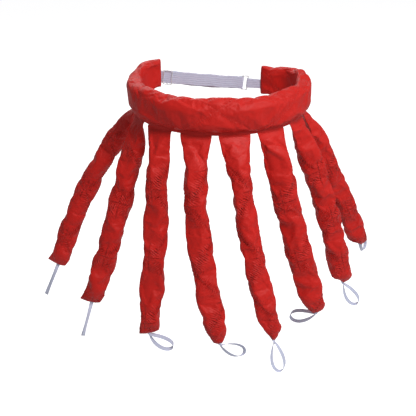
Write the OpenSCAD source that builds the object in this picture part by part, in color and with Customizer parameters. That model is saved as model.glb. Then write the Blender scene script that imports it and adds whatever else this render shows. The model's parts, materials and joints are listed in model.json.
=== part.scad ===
// Octopus costume belt for a child: a quilted, padded belt shaped like a horseshoe, with eight
// padded arms sewn to its lower edge, a finger loop at the tip of every arm, and an adjustable
// elastic strap that closes the belt at the back.
//
// +Z is up, the front of the belt is towards -Y, and the origin is the centre of the waist
// opening at half the belt's height. A place on the belt is given by its turn from the front,
// in degrees: 0 is the middle of the front, and positive turns go towards +X.

/* [Belt] */
// Half of the belt's width, to the middle of its padding
belt_half_width = 130; // [120:1:140]
// Depth of the belt ahead of the origin, to the middle of its padding
belt_front_depth = 116; // [110:1:125]
// Depth of the belt behind the origin, to the middle of its padding
belt_back_depth = 70; // [64:1:78]
// Height of the padded belt
belt_height = 52; // [46:1:58]
// Thickness of the padded belt
belt_thickness = 29; // [24:1:32]
// Turn from the front to the end of the belt on the -X side
left_end_turn = 144; // [140:1:150]
// Turn from the front to the end of the belt on the +X side
right_end_turn = 156; // [150:1:160]
// How far the end on the -X side is lifted
left_end_lift = 12; // [0:1:14]
// How far the end on the +X side is lifted
right_end_lift = -4; // [-6:1:2]
// Thickness of the quilted cloth of the belt and the arms
cloth = 1.0; // [0.8:0.1:1.2]

/* [Arms] */
// Length of an arm from its fold line to its tip
arm_length = 315; // [290:5:330]
// Width of an arm where it is sewn to the belt
arm_root_width = 48; // [42:1:48]
// Width of an arm along its length
arm_width = 38; // [34:1:40]
// Thickness of a stuffed arm
arm_thickness = 31; // [20:1:32]

/* [Finger loops] */
// Length of a finger loop
loop_length = 58; // [50:1:60]
// Width of the opening of a finger loop, between the middles of the two strands
loop_spread = 19; // [18:1:22]
// Width of the finger loops' elastic
loop_elastic_width = 6; // [5:0.5:8]
// Thickness of the finger loops' elastic
loop_elastic_thickness = 1.0; // [0.8:0.1:1.0]

/* [Strap] */
// Width of the back strap's elastic
strap_width = 20; // [18:1:22]
// Width of the short elastic tab that holds the ring
tab_width = 15; // [12:1:16]
// Thickness of the strap and the tab
strap_thickness = 1.0; // [0.8:0.1:1.2]
// Place of the ring along the strap, from the strap's middle
ring_x = 56; // [40:1:60]
// Place of the slider along the strap, from the strap's middle
slider_x = -71; // [-71:1:-60]

/* [Hidden] */

cloth_colour = "firebrick";
wadding_colour = "whitesmoke";
elastic_colour = "lavender";
clear_colour = "azure";

// One row for each arm, from the -X side round the front to the +X side:
// turn on the belt, splay outwards, lean along the seam, bow outwards, bow along the seam,
// half width of the tip. Turns and angles are in degrees, the rest in millimetres.
arms = [
    [-101, 27, 8, 10, -8, 11],
    [-74, 18, 3, -8, 6, 12],
    [-46, 14, 7, 0, 2, 14],
    [-18, 14, 10, 1, -9, 12],
    [7, 16, 9, 2, -2, 6],
    [33, 11, 11, 0, 1, 12],
    [62, 14, 12, 2, 2, 6],
    [89, 25, 12, 12, -3, 8]];
// One row for each finger loop: the way it points, and a hint of the way its opening spreads.
loops = [
    [[-0.40, -0.15, -0.90], [0, 1, 0]],
    [[-0.28, -0.25, -0.93], [0, 1, 0]],
    [[0.60, 0.34, -0.72], [1, 0, 1]],
    [[0.68, 0.42, -0.60], [0, 0, 1]],
    [[0.20, 0.00, -0.98], [1, 0, 0]],
    [[-0.62, 0.60, -0.50], [0, 0, 1]],
    [[0.50, 0.18, -0.85], [1, 0, 0]],
    [[0.37, 0.80, -0.47], [0, 0, 1]]];

back_squareness = 3;       // exponent of the curve of the belt's back half
section_squareness = 2.5;  // exponent of the belt's padded cross-section
slack = 0.3;               // gap between the cloth and the wadding, and between two panels
tape_height = 3.95;        // the binding under the belt that the arms are sewn to
tape_gap = 0.4;            // gap between the belt's lower edge and the binding
tape_clearance = 0.95;     // gap between the binding and the arm that swings under it
tape_thickness = 3;
tape_turns = [-114, 102];  // the binding's two ends
fold_half = 1.7;           // half thickness of the flat hem at the top of an arm
hem_above_fold = 0.6;      // how far the hem stands above its fold line
fold_drop = tape_gap + tape_height + tape_clearance
    + sqrt(fold_half * fold_half + hem_above_fold * hem_above_fold);
crease_half = 0.5;         // half thickness of the stitched crease halfway down an arm
crease_gap = 0.5;          // distance from the crease's fold line to either side's cloth
crease_run = 8;            // length over which an arm swells from its crease
tip_half = 2.2;            // half thickness of an arm's tip
loop_offset = 4;           // distance from an arm's tip to the point where its loop folds
loop_start = 18.5;         // angle along the loop's curve where each strand begins
bar_r = 0.8;               // the slider's bars
ring_bar_r = 0.9;          // the ring's bars
ring_inside = [7, strap_width + 0.6];    // the ring's opening, along the strap and upwards
slider_inside = [12, strap_width + 1];   // the slider's opening, along the strap and upwards
strap_tuck = 2;            // how far the strap and the tab reach into the belt's ends
strap_drop = 7;            // [0:1:8] how far the strap sits below the middle of the belt's ends
end_tail = 9;              // sewn tail of the loop on the slider's middle bar
$fn = 48;

function unit(v) = v / norm(v);

// Plan of the belt, the way along it and the way outwards, at a turn.
function belt_xy(t) = [
    belt_half_width * sign(sin(t)) * pow(abs(sin(t)), cos(t) < 0 ? 2 / back_squareness : 1),
    cos(t) >= 0 ? -belt_front_depth * cos(t) : belt_back_depth * pow(-cos(t), 2 / back_squareness)];
function along(t) = unit([for (v = belt_xy(t + 0.5) - belt_xy(t - 0.5)) v]);
function along3(t) = [along(t).x, along(t).y, 0];
function outward3(t) = [along(t).y, -along(t).x, 0];

// The belt's ends are lifted, a little lower in height, and close to a flat seam.
function end_turn(t) = t < 0 ? left_end_turn : right_end_turn;
function past_side(t) = max(0, abs(t) - 90) / (end_turn(t) - 90);
function lift(t) = (t < 0 ? left_end_lift : right_end_lift) * (1 - cos(180 * past_side(t))) / 2;
function half_height(t) = belt_height / 2 * (1 - 0.1 * pow(past_side(t), 2));
function closing(t) = let (e = min(1, (end_turn(t) - abs(t)) / 14)) 0.18 + 0.82 * sqrt(1 - (1 - e) * (1 - e));
function belt_mid(t) = [belt_xy(t).x, belt_xy(t).y, lift(t)];
function seam_point(t) = belt_mid(t) - [0, 0, half_height(t)];

belt_turns = concat(
    [for (d = [0, 2, 6, 13]) d - left_end_turn],
    [for (i = [-10:11]) i * 12.3],
    [for (d = [13, 6, 2, 0]) right_end_turn - d]);
wadding_turns = [for (t = belt_turns) if (abs(t) < end_turn(t) - 1) t];

// A point of the padded cross-section at angle a, shrunk by an inset.
function bulge(v) = sign(v) * pow(abs(v), 2 / section_squareness);
function section_point(t, a, inset) =
    belt_mid(t)
    + outward3(t) * (belt_thickness / 2 * closing(t) - inset) * bulge(cos(a))
    + [0, 0, (half_height(t) - inset) * bulge(sin(a))];

// One panel's C-shaped section: down its outer skin and back up its inner one.
panel_angles = [90, 70, 48, 24, 0, -24, -48, -70, -90];
function panel_ring(t, side) = [
    for (a = panel_angles) section_point(t, 90 + (a - 90) * side, 0) + outward3(t) * side * slack / 2,
    for (i = [len(panel_angles) - 1:-1:0])
        section_point(t, 90 + (panel_angles[i] - 90) * side, cloth) + outward3(t) * side * slack / 2];

// Skins between rings of equal count. Caps close the first and the last ring.
function side_faces(rings, n) = [
    for (r = [0:rings - 2], i = [0:n - 1]) let (j = (i + 1) % n, a = r * n, b = a + n)
        each [[a + i, a + j, b + j], [a + i, b + j, b + i]]];
module loft(rings, flip = false) {
    n = len(rings[0]);
    m = len(rings);
    faces = concat(side_faces(m, n), [[for (i = [n - 1:-1:0]) i]], [[for (i = [0:n - 1]) (m - 1) * n + i]]);
    polyhedron([for (r = rings) each r], flip ? [for (f = faces) [for (k = [len(f) - 1:-1:0]) f[k]]] : faces);
}
// A C-shaped section is capped by a strip of four-sided faces between its two skins.
module loft_channel(rings, flip = false) {
    n = len(rings[0]);
    m = len(rings);
    last = (m - 1) * n;
    faces = concat(side_faces(m, n),
        [for (i = [0:n / 2 - 2]) [n - 1 - i, n - 2 - i, i + 1, i]],
        [for (i = [0:n / 2 - 2]) [last + i, last + i + 1, last + n - 2 - i, last + n - 1 - i]]);
    polyhedron([for (r = rings) each r], flip ? [for (f = faces) [for (k = [len(f) - 1:-1:0]) f[k]]] : faces);
}

module belt_outer_panel() {
    color(cloth_colour) loft_channel([for (t = belt_turns) panel_ring(t, 1)], true);
}
module belt_inner_panel() {
    color(cloth_colour) loft_channel([for (t = belt_turns) panel_ring(t, -1)]);
}
module belt_wadding() {
    color(wadding_colour)
        loft([for (t = wadding_turns) [for (i = [0:11]) section_point(t, 30 * i, cloth + slack)]]);
}
module arm_seam_tape() {
    half = tape_thickness / 2;
    steps = 18;
    color(cloth_colour) loft([for (i = [0:steps]) let (
        t = tape_turns[0] + (tape_turns[1] - tape_turns[0]) * i / steps,
        p = seam_point(t) - [0, 0, tape_gap], o = outward3(t) * half)
        [p + o, p + o - [0, 0, tape_height], p - o - [0, 0, tape_height], p - o]], true);
}

// An arm's straight axis runs from its fold line on the seam to its tip. It hangs down, splayed
// outwards and leaning along the seam, and its centreline bows to the side of that axis.
function arm_down(k) = let (t = arms[k][0], s = arms[k][1], l = arms[k][2])
    outward3(t) * sin(s) * cos(l) + along3(t) * sin(l) - [0, 0, cos(s) * cos(l)];
function arm_thick(k) = unit(cross(along3(arms[k][0]), arm_down(k)));
function arm_wide(k, far) = let (t = along3(arms[k][0]), w = unit(cross(arm_down(k), arm_thick(k))))
    unit(t * (1 - min(1, far / 60)) + w * sign(w * t) * min(1, far / 60));
function arm_root(k) = seam_point(arms[k][0]) - [0, 0, fold_drop];
function arm_centre(k, far) = let (s = max(0, far) / arm_length)
    arm_root(k) + arm_down(k) * far
    + (outward3(arms[k][0]) * arms[k][3] + along3(arms[k][0]) * arms[k][4]) * 4 * s * (1 - s);
function arm_ring(k, far, half_w, half_t, inset) = [for (i = [0:11])
    arm_centre(k, far) + arm_wide(k, far) * (half_w - inset) * cos(30 * i)
    + arm_thick(k) * (half_t - inset) * sin(30 * i)];

// Sections of an arm: distance from the fold line, half width, half thickness.
half_length = arm_length / 2;
half_w = arm_width / 2;
half_t = arm_thickness / 2;
upper = [
    [-hem_above_fold, arm_root_width / 2, fold_half],
    [12, arm_root_width / 2 - 1, half_t * 0.36],
    [32, half_w + 2, half_t * 0.7],
    [70, half_w, half_t * 0.95],
    [115, half_w, half_t],
    [half_length - crease_run, half_w, half_t * 0.88],
    [half_length - crease_gap, half_w - 0.5, crease_half]];
function lower(k) = [
    [arm_length, arms[k][5], tip_half],
    [arm_length - 7, min(half_w - 3, arms[k][5] + 5), half_t * 0.5],
    [arm_length - 24, half_w - 1.5, half_t * 0.84],
    [arm_length - 60, half_w, half_t * 0.98],
    [half_length + 40, half_w, half_t],
    [half_length + crease_run, half_w, half_t * 0.88],
    [half_length + crease_gap, half_w - 0.5, crease_half]];

// A cover is a cup of cloth: up its inside from near the crease to its mouth, where it is sewn
// shut, and back down its outside to the crease.
module cover(k, rows, towards_crease, flip) {
    n = len(rows);
    deep = rows[n - 2] - [towards_crease * 1.5, 0, 0];
    inside = concat([deep], [for (i = [n - 3:-1:0]) rows[i]]);
    color(cloth_colour) loft(concat(
        [for (r = inside) arm_ring(k, r[0], r[1], r[2], cloth)],
        [for (r = rows) arm_ring(k, r[0], r[1], r[2], 0)]), flip);
}
// Wadding fills a cover from its second section to short of the crease.
module wadding(k, rows, towards_crease, flip) {
    n = len(rows);
    deep = rows[n - 2] - [towards_crease * 2, 0, 0];
    color(wadding_colour) loft(
        [for (r = concat([deep], [for (i = [n - 3:-1:1]) rows[i]])) arm_ring(k, r[0], r[1], r[2], cloth + slack)],
        flip);
}
module arm_upper_cover(k) { cover(k, upper, 1, false); }
module arm_upper_wadding(k) { wadding(k, upper, 1, true); }
module arm_lower_cover(k) { cover(k, lower(k), -1, true); }
module arm_lower_wadding(k) { wadding(k, lower(k), -1, false); }

// A finger loop is one length of flat elastic, folded to a drop shape. Its width stands square
// to the plane of the drop.
function loop_at(k) = arm_centre(k, arm_length) + arm_down(k) * loop_offset;
function loop_down(k) = unit(loops[k][0]);
function loop_side(k) = unit(cross(loop_down(k), loops[k][1]));
function loop_across(k) = cross(loop_side(k), loop_down(k));
function loop_curve(k, a) = loop_at(k)
    + loop_across(k) * loop_spread * 0.65 * sin(a) * sin(a / 2)
    + loop_down(k) * loop_length * (1 - cos(a)) / 2;
module finger_loop(k) {
    steps = 26;
    color(elastic_colour) loft([for (i = [0:steps]) let (
        a = loop_start + (360 - 2 * loop_start) * i / steps,
        p = loop_curve(k, a),
        way = unit(loop_curve(k, a + 0.5) - loop_curve(k, a - 0.5)),
        side = loop_side(k) * loop_elastic_width / 2,
        up = cross(way, loop_side(k)) * loop_elastic_thickness / 2)
        [p + side + up, p + side - up, p - side - up, p - side + up]]);
}

// The strap's own frame: its origin is halfway between the belt's two ends, and X runs from the
// end on the -X side to the other. The inner layer lies at y = 0, and the doubled layer behind it
// at y = doubled_y.
left_end = belt_mid(-left_end_turn);
right_end = belt_mid(right_end_turn);
strap_way = right_end - left_end;
half_reach = norm(strap_way) / 2;
ring_fold_r = ring_bar_r + 0.15;
doubled_y = 2 * ring_fold_r + strap_thickness;
loop_bar_r = bar_r + 0.1;
middle_bar_y = doubled_y + loop_bar_r + strap_thickness / 2;
side_bar_y = -strap_thickness / 2 - 0.3 - bar_r;
ring_half = ring_inside / 2 + [ring_bar_r, ring_bar_r];
slider_half = slider_inside / 2 + [bar_r, bar_r];
module in_strap_frame() {
    translate((left_end + right_end) / 2 - [0, 0, strap_drop])
        rotate([0, -asin(strap_way.z / norm(strap_way)), atan2(strap_way.y, strap_way.x)]) children();
}
module layer(x0, x1, y, width) {
    translate([x0, y - strap_thickness / 2, -width / 2]) cube([x1 - x0, strap_thickness, width]);
}
// Half of a tube of elastic, folded round an upright bar. It opens towards -X.
module fold(r, width) {
    translate([0, 0, -width / 2]) rotate([0, 0, -90]) rotate_extrude(angle = 180)
        translate([r, 0]) square([strap_thickness, width]);
}
module post(x, y, r, height) { translate([x, y, -height / 2]) cylinder(r = r, h = height); }
module rail(x0, x1, y, z, r) { translate([x0, y, z]) rotate([0, 90, 0]) cylinder(r = r, h = x1 - x0); }
module knuckle(x, y, z, r) { translate([x, y, z]) sphere(r = r); }

module strap_elastic() {
    bar_x = ring_x - ring_half.x;
    color(elastic_colour) in_strap_frame() {
        layer(-half_reach - strap_tuck, bar_x, 0, strap_width);
        translate([bar_x, doubled_y / 2, 0]) fold(ring_fold_r, strap_width);
    }
}
module strap_return() {
    color(elastic_colour) in_strap_frame()
        layer(slider_x + end_tail + 0.3, ring_x - ring_half.x - 0.01, doubled_y, strap_width);
}
module strap_end_loop() {
    color(elastic_colour) in_strap_frame() translate([slider_x, middle_bar_y, 0]) {
        difference() {
            post(0, 0, loop_bar_r + strap_thickness, strap_width);
            post(0, 0, loop_bar_r, strap_width + 2);
        }
        layer(0.4, end_tail, -loop_bar_r - strap_thickness / 2, strap_width);
    }
}
module strap_slider() {
    height = 2 * slider_half.y;
    color(clear_colour) in_strap_frame() translate([slider_x, 0, 0]) {
        for (x = [-1, 1]) post(x * slider_half.x, side_bar_y, bar_r, height);
        post(0, middle_bar_y, bar_r, height);
        for (z = [-1, 1]) {
            rail(-slider_half.x, slider_half.x, side_bar_y, z * slider_half.y, bar_r);
            translate([0, side_bar_y, z * slider_half.y]) rotate([-90, 0, 0])
                cylinder(r = bar_r, h = middle_bar_y - side_bar_y);
            for (x = [-1, 1]) knuckle(x * slider_half.x, side_bar_y, z * slider_half.y, bar_r);
            knuckle(0, middle_bar_y, z * slider_half.y, bar_r);
        }
    }
}
module strap_ring() {
    color(clear_colour) in_strap_frame() translate([ring_x, doubled_y / 2, 0])
        for (s = [-1, 1]) {
            post(s * ring_half.x, 0, ring_bar_r, 2 * ring_half.y);
            rail(-ring_half.x, ring_half.x, 0, s * ring_half.y, ring_bar_r);
            for (z = [-1, 1]) knuckle(s * ring_half.x, 0, z * ring_half.y, ring_bar_r);
        }
}
// The tab is folded round the ring, and its two layers meet before they enter the belt.
module strap_tab() {
    bar_x = ring_x + ring_half.x;
    near = doubled_y / 2;
    outer = ring_fold_r + strap_thickness;
    meet_x = bar_x + 20;
    color(elastic_colour) in_strap_frame() {
        translate([bar_x, near, 0]) mirror([1, 0, 0]) fold(ring_fold_r, tab_width);
        translate([0, 0, -tab_width / 2]) linear_extrude(height = tab_width) difference() {
            polygon([[bar_x, near + outer], [meet_x, strap_thickness], [half_reach + strap_tuck, strap_thickness],
                [half_reach + strap_tuck, -strap_thickness], [meet_x, -strap_thickness], [bar_x, near - outer]]);
            polygon([[bar_x - 1, near + ring_fold_r], [bar_x, near + ring_fold_r], [meet_x - 4, 0],
                [bar_x, near - ring_fold_r], [bar_x - 1, near - ring_fold_r]]);
        }
    }
}

belt_outer_panel();
belt_inner_panel();
belt_wadding();
arm_seam_tape();
strap_elastic();
strap_return();
strap_end_loop();
strap_slider();
strap_ring();
strap_tab();
arm_upper_cover(0);  // arm_1_upper_cover
arm_lower_cover(0);  // arm_1_lower_cover
arm_upper_wadding(0);  // arm_1_upper_wadding
arm_lower_wadding(0);  // arm_1_lower_wadding
finger_loop(0);  // arm_1_loop
arm_upper_cover(1);  // arm_2_upper_cover
arm_lower_cover(1);  // arm_2_lower_cover
arm_upper_wadding(1);  // arm_2_upper_wadding
arm_lower_wadding(1);  // arm_2_lower_wadding
finger_loop(1);  // arm_2_loop
arm_upper_cover(2);  // arm_3_upper_cover
arm_lower_cover(2);  // arm_3_lower_cover
arm_upper_wadding(2);  // arm_3_upper_wadding
arm_lower_wadding(2);  // arm_3_lower_wadding
finger_loop(2);  // arm_3_loop
arm_upper_cover(3);  // arm_4_upper_cover
arm_lower_cover(3);  // arm_4_lower_cover
arm_upper_wadding(3);  // arm_4_upper_wadding
arm_lower_wadding(3);  // arm_4_lower_wadding
finger_loop(3);  // arm_4_loop
arm_upper_cover(4);  // arm_5_upper_cover
arm_lower_cover(4);  // arm_5_lower_cover
arm_upper_wadding(4);  // arm_5_upper_wadding
arm_lower_wadding(4);  // arm_5_lower_wadding
finger_loop(4);  // arm_5_loop
arm_upper_cover(5);  // arm_6_upper_cover
arm_lower_cover(5);  // arm_6_lower_cover
arm_upper_wadding(5);  // arm_6_upper_wadding
arm_lower_wadding(5);  // arm_6_lower_wadding
finger_loop(5);  // arm_6_loop
arm_upper_cover(6);  // arm_7_upper_cover
arm_lower_cover(6);  // arm_7_lower_cover
arm_upper_wadding(6);  // arm_7_upper_wadding
arm_lower_wadding(6);  // arm_7_lower_wadding
finger_loop(6);  // arm_7_loop
arm_upper_cover(7);  // arm_8_upper_cover
arm_lower_cover(7);  // arm_8_lower_cover
arm_upper_wadding(7);  // arm_8_upper_wadding
arm_lower_wadding(7);  // arm_8_lower_wadding
finger_loop(7);  // arm_8_loop
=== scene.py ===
# %% [markdown]
# # A quilted octopus costume belt
#
# The object is a child's dress-up belt: a padded horseshoe of quilted red cloth, eight stuffed
# arms sewn under it, a flat elastic loop at the tip of every arm and an adjustable elastic strap
# behind. The imported CAD model is the frame. Every piece made here goes where that frame says.

# %% Load the frame
import json
import math

import bmesh
import bpy
import numpy as np
from mathutils import Matrix, Vector
from mathutils.bvhtree import BVHTree


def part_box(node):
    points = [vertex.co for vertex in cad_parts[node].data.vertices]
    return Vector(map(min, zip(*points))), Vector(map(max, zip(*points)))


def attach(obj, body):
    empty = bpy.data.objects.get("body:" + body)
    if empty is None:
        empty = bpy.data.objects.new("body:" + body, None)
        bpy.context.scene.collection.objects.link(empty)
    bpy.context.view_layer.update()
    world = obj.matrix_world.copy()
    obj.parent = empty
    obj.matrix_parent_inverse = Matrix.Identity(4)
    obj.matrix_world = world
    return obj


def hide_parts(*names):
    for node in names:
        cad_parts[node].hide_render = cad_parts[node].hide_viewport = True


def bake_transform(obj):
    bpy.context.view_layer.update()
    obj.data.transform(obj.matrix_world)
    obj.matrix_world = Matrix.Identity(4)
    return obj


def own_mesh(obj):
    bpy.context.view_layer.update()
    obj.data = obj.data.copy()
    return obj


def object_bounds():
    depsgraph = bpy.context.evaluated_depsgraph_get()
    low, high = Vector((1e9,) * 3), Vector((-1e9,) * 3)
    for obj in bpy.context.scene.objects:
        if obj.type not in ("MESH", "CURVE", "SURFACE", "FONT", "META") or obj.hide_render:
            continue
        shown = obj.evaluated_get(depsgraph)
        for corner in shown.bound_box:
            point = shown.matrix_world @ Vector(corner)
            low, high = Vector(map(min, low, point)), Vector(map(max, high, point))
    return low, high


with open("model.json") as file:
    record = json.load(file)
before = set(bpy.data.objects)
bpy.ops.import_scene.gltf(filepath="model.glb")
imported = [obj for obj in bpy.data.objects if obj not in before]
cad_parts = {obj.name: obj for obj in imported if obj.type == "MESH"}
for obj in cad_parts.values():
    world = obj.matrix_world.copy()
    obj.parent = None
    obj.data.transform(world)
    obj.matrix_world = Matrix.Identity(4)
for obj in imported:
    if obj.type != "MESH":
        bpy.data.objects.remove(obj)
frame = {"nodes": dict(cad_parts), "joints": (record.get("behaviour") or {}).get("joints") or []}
cad_low, cad_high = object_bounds()
print("CAD box in mm:", [round(1000 * x) for x in cad_high - cad_low])

# %% [markdown]
# ## Places that the frame gives
#
# Each arm hangs from a fold line on the belt's lower seam (its swing joint), bends halfway down
# (its bend joint) and ends in a loop that flicks (its flick joint). Those three points fix an
# arm's straight axis and how far its centreline bows to the side of that axis.

# %% Read the joints of one arm
MM = 0.001
ARMS = range(1, 9)
LOOP_OFFSET = 4 * MM        # from an arm's tip to the point where its loop folds
JOINTS = {j["name"]: j for j in frame["joints"]}


def unit(v):
    v = np.asarray(v, float)
    return v / np.linalg.norm(v)


def unit_rows(v):
    return v / np.linalg.norm(v, axis=1)[:, None]


def distances(path):
    """The distance along a path from its start to each of its points."""
    return np.concatenate([[0], np.cumsum(np.linalg.norm(np.diff(path, axis=0), axis=1))])


def joint(name):
    return np.array(JOINTS[name]["pos_m"]), unit(JOINTS[name]["axis"])


class Arm:
    """The places of one arm, worked out from its three joints."""

    def __init__(self, n):
        self.root, swing = joint(f"arm_{n}_swing")
        middle, bend = joint(f"arm_{n}_bend")
        self.fold, _ = joint(f"arm_{n}_flick")
        self.down = unit(self.fold - self.root)
        self.length = np.linalg.norm(self.fold - self.root) - LOOP_OFFSET
        self.along = -swing
        self.wide = -bend
        self.thick = unit(np.cross(self.along, self.down))
        self.bow = middle - self.root - self.down * self.length / 2
        self.number = n
        self.name = f"arm_{n}"

    def centre(self, far):
        s = np.clip(far, 0, None) / self.length
        return (self.root + np.outer(far, self.down)
                + np.outer(4 * s * (1 - s), self.bow))


arms = {n: Arm(n) for n in ARMS}
print("arm lengths in mm:", [round(a.length / MM) for a in arms.values()])

# %% [markdown]
# ## The belt's plan
#
# Seen from above the belt is half an ellipse in front and a squarer curve behind, open at the
# back. A place on it is a turn from the middle of the front. The pieces need the distance round
# the belt as well, so a fine walk along the curve gives one from the other.

# %% Walk along the belt's middle line
THICKNESS = 29 * MM
HEIGHT = 52 * MM
LEFT_END_TURN = 144
RIGHT_END_TURN = 156
outer_low, outer_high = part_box("belt_outer_panel")
HALF_WIDTH = outer_high.x - THICKNESS / 2 - 0.15 * MM
FRONT_DEPTH = -outer_low.y - THICKNESS / 2 - 0.15 * MM
BACK_DEPTH = 70 * MM
LEFT_LIFT = 12 * MM
RIGHT_LIFT = -4 * MM
BACK_POWER = 2 / 3
END_NARROWING = 0.1         # how much lower the belt is at its ends


def belt_xy(turn):
    s, c = np.sin(np.radians(turn)), np.cos(np.radians(turn))
    x = HALF_WIDTH * np.sign(s) * np.abs(s) ** np.where(c < 0, BACK_POWER, 1.0)
    y = np.where(c >= 0, -FRONT_DEPTH * c, BACK_DEPTH * np.abs(c) ** BACK_POWER)
    return x, y


walk_turns = np.linspace(-LEFT_END_TURN, RIGHT_END_TURN, 2401)
walk_x, walk_y = belt_xy(walk_turns)
steps = np.hypot(np.diff(walk_x), np.diff(walk_y))
walk = np.concatenate([[0], np.cumsum(steps)])
walk -= np.interp(0, walk_turns, walk)
BELT_START, BELT_END = walk[0], walk[-1]


def end_turn(turn):
    return np.where(turn < 0, LEFT_END_TURN, RIGHT_END_TURN)


def belt_frame(run):
    """Points on the belt's middle line, the way outwards, half its height and the turns."""
    turn = np.interp(run, walk, walk_turns)
    x, y = belt_xy(turn)
    ax, ay = np.subtract(belt_xy(turn + 0.5), belt_xy(turn - 0.5))
    size = np.hypot(ax, ay)
    past = np.clip(np.abs(turn) - 90, 0, None) / (end_turn(turn) - 90)
    lift = np.where(turn < 0, LEFT_LIFT, RIGHT_LIFT) * (1 - np.cos(np.pi * past)) / 2
    middle = np.stack([x, y, lift], -1)
    outward = np.stack([ay / size, -ax / size, 0 * x], -1)
    return middle, outward, HEIGHT / 2 * (1 - END_NARROWING * past ** 2), turn


print("belt length in mm:", round((BELT_END - BELT_START) / MM))

# %% [markdown]
# ## Camera, floor and light
#
# The belt is worn, so it floats at waist height with the arms hanging. The floor is a plain pale
# sheet well below the loops. Floor and surroundings are white to the camera alone: the floor sheds
# no light of its own and the surroundings little. One large lamp stands high in front, a little to
# the right, with weaker ones behind and at the side, so that the rounded edges of the stuffing
# fall off into a deeper red.

# %% Camera
CAMERA_TURN = math.radians(-2.5)
CAMERA_RISE = math.radians(26.5)
CAMERA_DISTANCE = 1.3
LOOK_AT = Vector((-17.7, 0, -204)) * MM

camera = bpy.data.objects.new("camera", bpy.data.cameras.new("camera"))
bpy.context.scene.collection.objects.link(camera)
camera.data.lens = 67.2
camera.data.sensor_width = 36
back = Vector((math.sin(CAMERA_TURN) * math.cos(CAMERA_RISE),
               -math.cos(CAMERA_TURN) * math.cos(CAMERA_RISE),
               math.sin(CAMERA_RISE)))
camera.location = LOOK_AT + back * CAMERA_DISTANCE
camera.rotation_euler = (-back).to_track_quat("-Z", "Y").to_euler()
bpy.context.scene.camera = camera

# %% Floor and lamps
FLOOR_DROP = 0.25
FLOOR_GLOW = 0.75           # makes the floor white to the camera, and lights nothing
TENT_LIGHT = 0.3            # the light that the surroundings shed


def new_object(name, bm):
    """A finished bmesh becomes an object at the origin."""
    mesh = bpy.data.meshes.new(name)
    for face in bm.faces:
        face.smooth = True
    bm.to_mesh(mesh)
    bm.free()
    obj = bpy.data.objects.new(name, mesh)
    bpy.context.scene.collection.objects.link(obj)
    return obj


def plain(name, colour, roughness):
    """A material, and its Principled shader to build on."""
    material = bpy.data.materials.new(name)
    material.use_nodes = True
    shader = material.node_tree.nodes["Principled BSDF"]
    shader.inputs["Base Color"].default_value = (*colour, 1)
    shader.inputs["Roughness"].default_value = roughness
    return material, shader


def only_to_camera(tree, socket, value, otherwise):
    """Gives a socket one value for what the camera sees and another for the light that it sheds."""
    seen = tree.nodes.new("ShaderNodeLightPath")
    scaled = tree.nodes.new("ShaderNodeMath")
    scaled.operation = "MULTIPLY_ADD"
    scaled.inputs[1].default_value = value - otherwise
    scaled.inputs[2].default_value = otherwise
    tree.links.new(seen.outputs["Is Camera Ray"], scaled.inputs[0])
    tree.links.new(scaled.outputs[0], socket)


bm = bmesh.new()
bmesh.ops.create_grid(bm, x_segments=1, y_segments=1, size=6,
                      matrix=Matrix.Translation((0, 0, cad_low.z - FLOOR_DROP)))
floor = new_object("floor", bm)
pale, shader = plain("pale_floor", (0.7, 0.7, 0.71), 0.9)
shader.inputs["Emission Color"].default_value = (1, 1, 1, 1)
only_to_camera(pale.node_tree, shader.inputs["Emission Strength"], FLOOR_GLOW, 0)
floor.data.materials.append(pale)


def lamp(name, place, size, power):
    light = bpy.data.lights.new(name, "AREA")
    light.shape = "DISK"
    light.size = size
    light.energy = power
    obj = bpy.data.objects.new(name, light)
    bpy.context.scene.collection.objects.link(obj)
    obj.location = place
    obj.rotation_euler = (LOOK_AT - Vector(place)).to_track_quat("-Z", "Y").to_euler()


lamp("key_lamp", (0.6, -1.2, 1.5), 0.7, 36)
lamp("side_lamp", (1.9, -0.6, 0.9), 1.2, 9)
lamp("back_lamp", (-0.4, 1.9, 1.2), 1.6, 18)
bpy.context.scene.view_settings.view_transform = "Standard"
world = bpy.data.worlds.new("tent")
world.use_nodes = True
surroundings = world.node_tree.nodes["Background"]
surroundings.inputs["Color"].default_value = (1, 1, 1, 1)
only_to_camera(world.node_tree, surroundings.inputs["Strength"], 1, TENT_LIGHT)
bpy.context.scene.world = world

# %% [markdown]
# ## One helper for everything that is swept
#
# Belt, arms, binding, elastic and threads are all tubes at heart: a ring of points carried along
# a line. A tube can start from `create_cone` with equal radii, its long edges cut into rows.
# Every vertex then still knows its turn round the tube and its share of the way along it, and a
# short function that maps those two numbers to a place gives the piece its shape.

# %% Tubes


def tube(around, rows, place, capped=True):
    """A bmesh tube whose vertices sit at place(turn, share)."""
    bm = bmesh.new()
    bmesh.ops.create_cone(bm, cap_ends=capped, segments=around, radius1=1, radius2=1, depth=1)
    long_edges = [e for e in bm.edges if abs(e.verts[0].co.z - e.verts[1].co.z) > 0.5]
    bmesh.ops.subdivide_edges(bm, edges=long_edges, cuts=rows - 1)
    at = np.array([v.co for v in bm.verts])
    turn, share = np.arctan2(at[:, 1], at[:, 0]), at[:, 2] + 0.5
    share = np.round(share * rows) / rows
    for v, p in zip(bm.verts, place(turn, share)):
        v.co = p
    bmesh.ops.recalc_face_normals(bm, faces=bm.faces)
    return bm


def rounded(v, power):
    """A sine or cosine raised so that a circle becomes a squarer curve."""
    return np.sign(v) * np.abs(v) ** (2 / power)


def smooth(v):
    v = np.clip(v, 0, 1)
    return v * v * (3 - 2 * v)


# %% [markdown]
# ## Finger loops
#
# A finger loop is one length of 6 mm flat elastic folded double and sewn into the tip. It is a
# cord with both ends in the object, so it comes first. The drop-shaped route is a formula. The
# ribbon is a tube with a flat section: its width stands square to the plane of the drop, and
# three ribs run along each face.

# %% Ribbons of elastic
RIB_DEPTH = 0.5             # of half the thickness


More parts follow.
